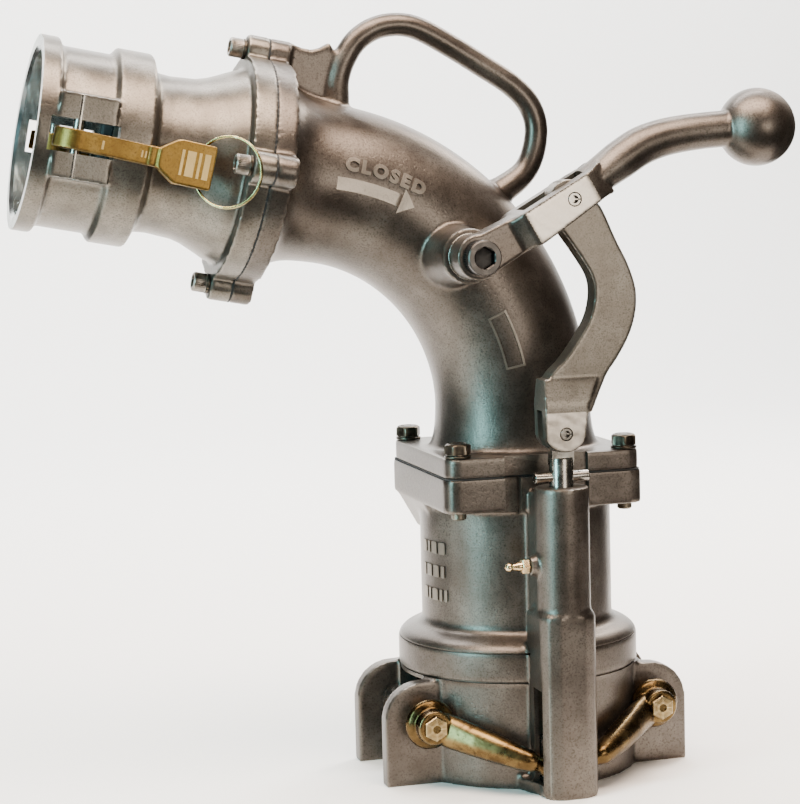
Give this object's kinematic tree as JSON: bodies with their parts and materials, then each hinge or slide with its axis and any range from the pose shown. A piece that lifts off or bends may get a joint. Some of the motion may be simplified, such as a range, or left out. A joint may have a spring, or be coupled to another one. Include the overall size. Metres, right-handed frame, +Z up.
{
  "type": "camlock coupling",
  "caption": "Cast drop-elbow coupling with a lever-latched base coupler, a carrying handle and a cam-and-groove hose coupler on the outlet",
  "frame": {"origin": "on the axis of the base coupler, in the plane that it stands on", "axes": "+Z up along the base axis; the hose coupler points towards -X and up by 11 degrees; the lever, link and rod work in front, at -Y"},
  "size_m": [0.565, 0.2412, 0.579],
  "materials": {
    "cast_body": "satin sand casting, warm grey",
    "cast_elbow": "satin sand casting, warm grey",
    "cast_coupler": "satin casting, bright turned bore",
    "cast_lever": "satin casting, milled cheeks",
    "rubber": "matt black",
    "dark_steel": "dark plated steel",
    "black_steel": "black oxide",
    "arm_brass": "cast brass, satin",
    "ring_zinc": "gold zinc plate",
    "gold_chromate": "dark gold chromate",
    "fitting_brass": "bright brass",
    "bright_steel": "ground steel"
  },
  "bodies": {
    "base": {"lower_body": "cast_body", "elbow": "cast_elbow", "coupler_body": "cast_coupler", "flange_gasket": "rubber", "neck_gasket": "rubber", "nose_seal": "rubber", "mouth_gasket": "rubber", "grease_fitting": "fitting_brass", "lever_pivot_screw": "black_steel", "pivot_washer": "bright_steel", "cam_pin_front": "bright_steel", "cam_pin_rear": "bright_steel", "base_bolt_1": "dark_steel", "base_bolt_2": "dark_steel", "base_bolt_3": "dark_steel", "base_bolt_4": "dark_steel", "base_washer_1": "dark_steel", "base_washer_2": "dark_steel", "base_washer_3": "dark_steel", "base_washer_4": "dark_steel", "neck_screw_1": "dark_steel", "neck_screw_2": "dark_steel", "neck_screw_3": "dark_steel", "neck_screw_4": "dark_steel", "neck_washer_1": "dark_steel", "neck_washer_2": "dark_steel", "neck_washer_3": "dark_steel", "neck_washer_4": "dark_steel"},
    "lever": {"lever": "cast_lever", "link_pin_upper": "bright_steel"},
    "link": {"link": "cast_lever", "link_pin_lower": "bright_steel"},
    "rod": {"operating_rod": "bright_steel", "rod_stop_pin": "bright_steel", "crosshead": "bright_steel", "crosshead_pin": "bright_steel"},
    "crank_l": {"crank_left": "gold_chromate", "crank_cap_left": "gold_chromate", "latch_shaft_left": "bright_steel", "latch_cam_left": "bright_steel", "shaft_collar_left": "bright_steel"},
    "crank_r": {"crank_right": "gold_chromate", "crank_cap_right": "gold_chromate", "latch_shaft_right": "bright_steel", "latch_cam_right": "bright_steel", "shaft_collar_right": "bright_steel"},
    "arm_front": {"cam_arm_front": "arm_brass"},
    "arm_rear": {"cam_arm_rear": "arm_brass"},
    "ring_front": {"pull_ring_front": "ring_zinc"},
    "ring_rear": {"pull_ring_rear": "ring_zinc"}
  },
  "joints": [
    {"name": "lever_swing", "type": "hinge", "parent": "base", "child": "lever", "pos_m": [-0.0621, -0.108, 0.3988], "axis": [0, -1, 0], "range_deg": [0, 40]},
    {"name": "link_swing", "type": "hinge", "parent": "lever", "child": "link", "pos_m": [0.007, -0.108, 0.4381], "axis": [0, -1, 0], "range_deg": [-28, 1]},
    {"name": "rod_lift", "type": "slide", "parent": "base", "child": "rod", "axis": [0, 0, 1], "range_m": [-0.0002, 0.0404]},
    {"name": "crank_left_turn", "type": "hinge", "parent": "base", "child": "crank_l", "pos_m": [-0.09, 0, 0.049], "axis": [0, -1, 0], "range_deg": [-0.5, 30]},
    {"name": "crank_right_turn", "type": "hinge", "parent": "base", "child": "crank_r", "pos_m": [0.09, 0, 0.049], "axis": [0, 1, 0], "range_deg": [-0.5, 30]},
    {"name": "arm_front_swing", "type": "hinge", "parent": "base", "child": "arm_front", "pos_m": [-0.33749, -0.0665, 0.49085], "axis": [-0.1922, 0, -0.9814], "range_deg": [0, 100]},
    {"name": "arm_rear_swing", "type": "hinge", "parent": "base", "child": "arm_rear", "pos_m": [-0.33749, 0.0665, 0.49085], "axis": [0.1922, 0, 0.9814], "range_deg": [0, 100]},
    {"name": "ring_front_swing", "type": "hinge", "parent": "arm_front", "child": "ring_front", "pos_m": [-0.25694, -0.0762, 0.46868], "axis": [-0.2365, 0, -0.9716], "range_deg": [0, 34]},
    {"name": "ring_rear_swing", "type": "hinge", "parent": "arm_rear", "child": "ring_rear", "pos_m": [-0.25694, 0.0762, 0.46868], "axis": [0.2365, 0, 0.9716], "range_deg": [0, 34]}
  ],
  "couplings": [
    {"joint": "link_swing", "follows": "lever_swing", "ratio": -0.665},
    {"joint": "rod_lift", "follows": "lever_swing", "m_per_rad": 0.0572},
    {"joint": "crank_left_turn", "follows": "lever_swing", "ratio": 0.726},
    {"joint": "crank_right_turn", "follows": "lever_swing", "ratio": 0.726}
  ]
}
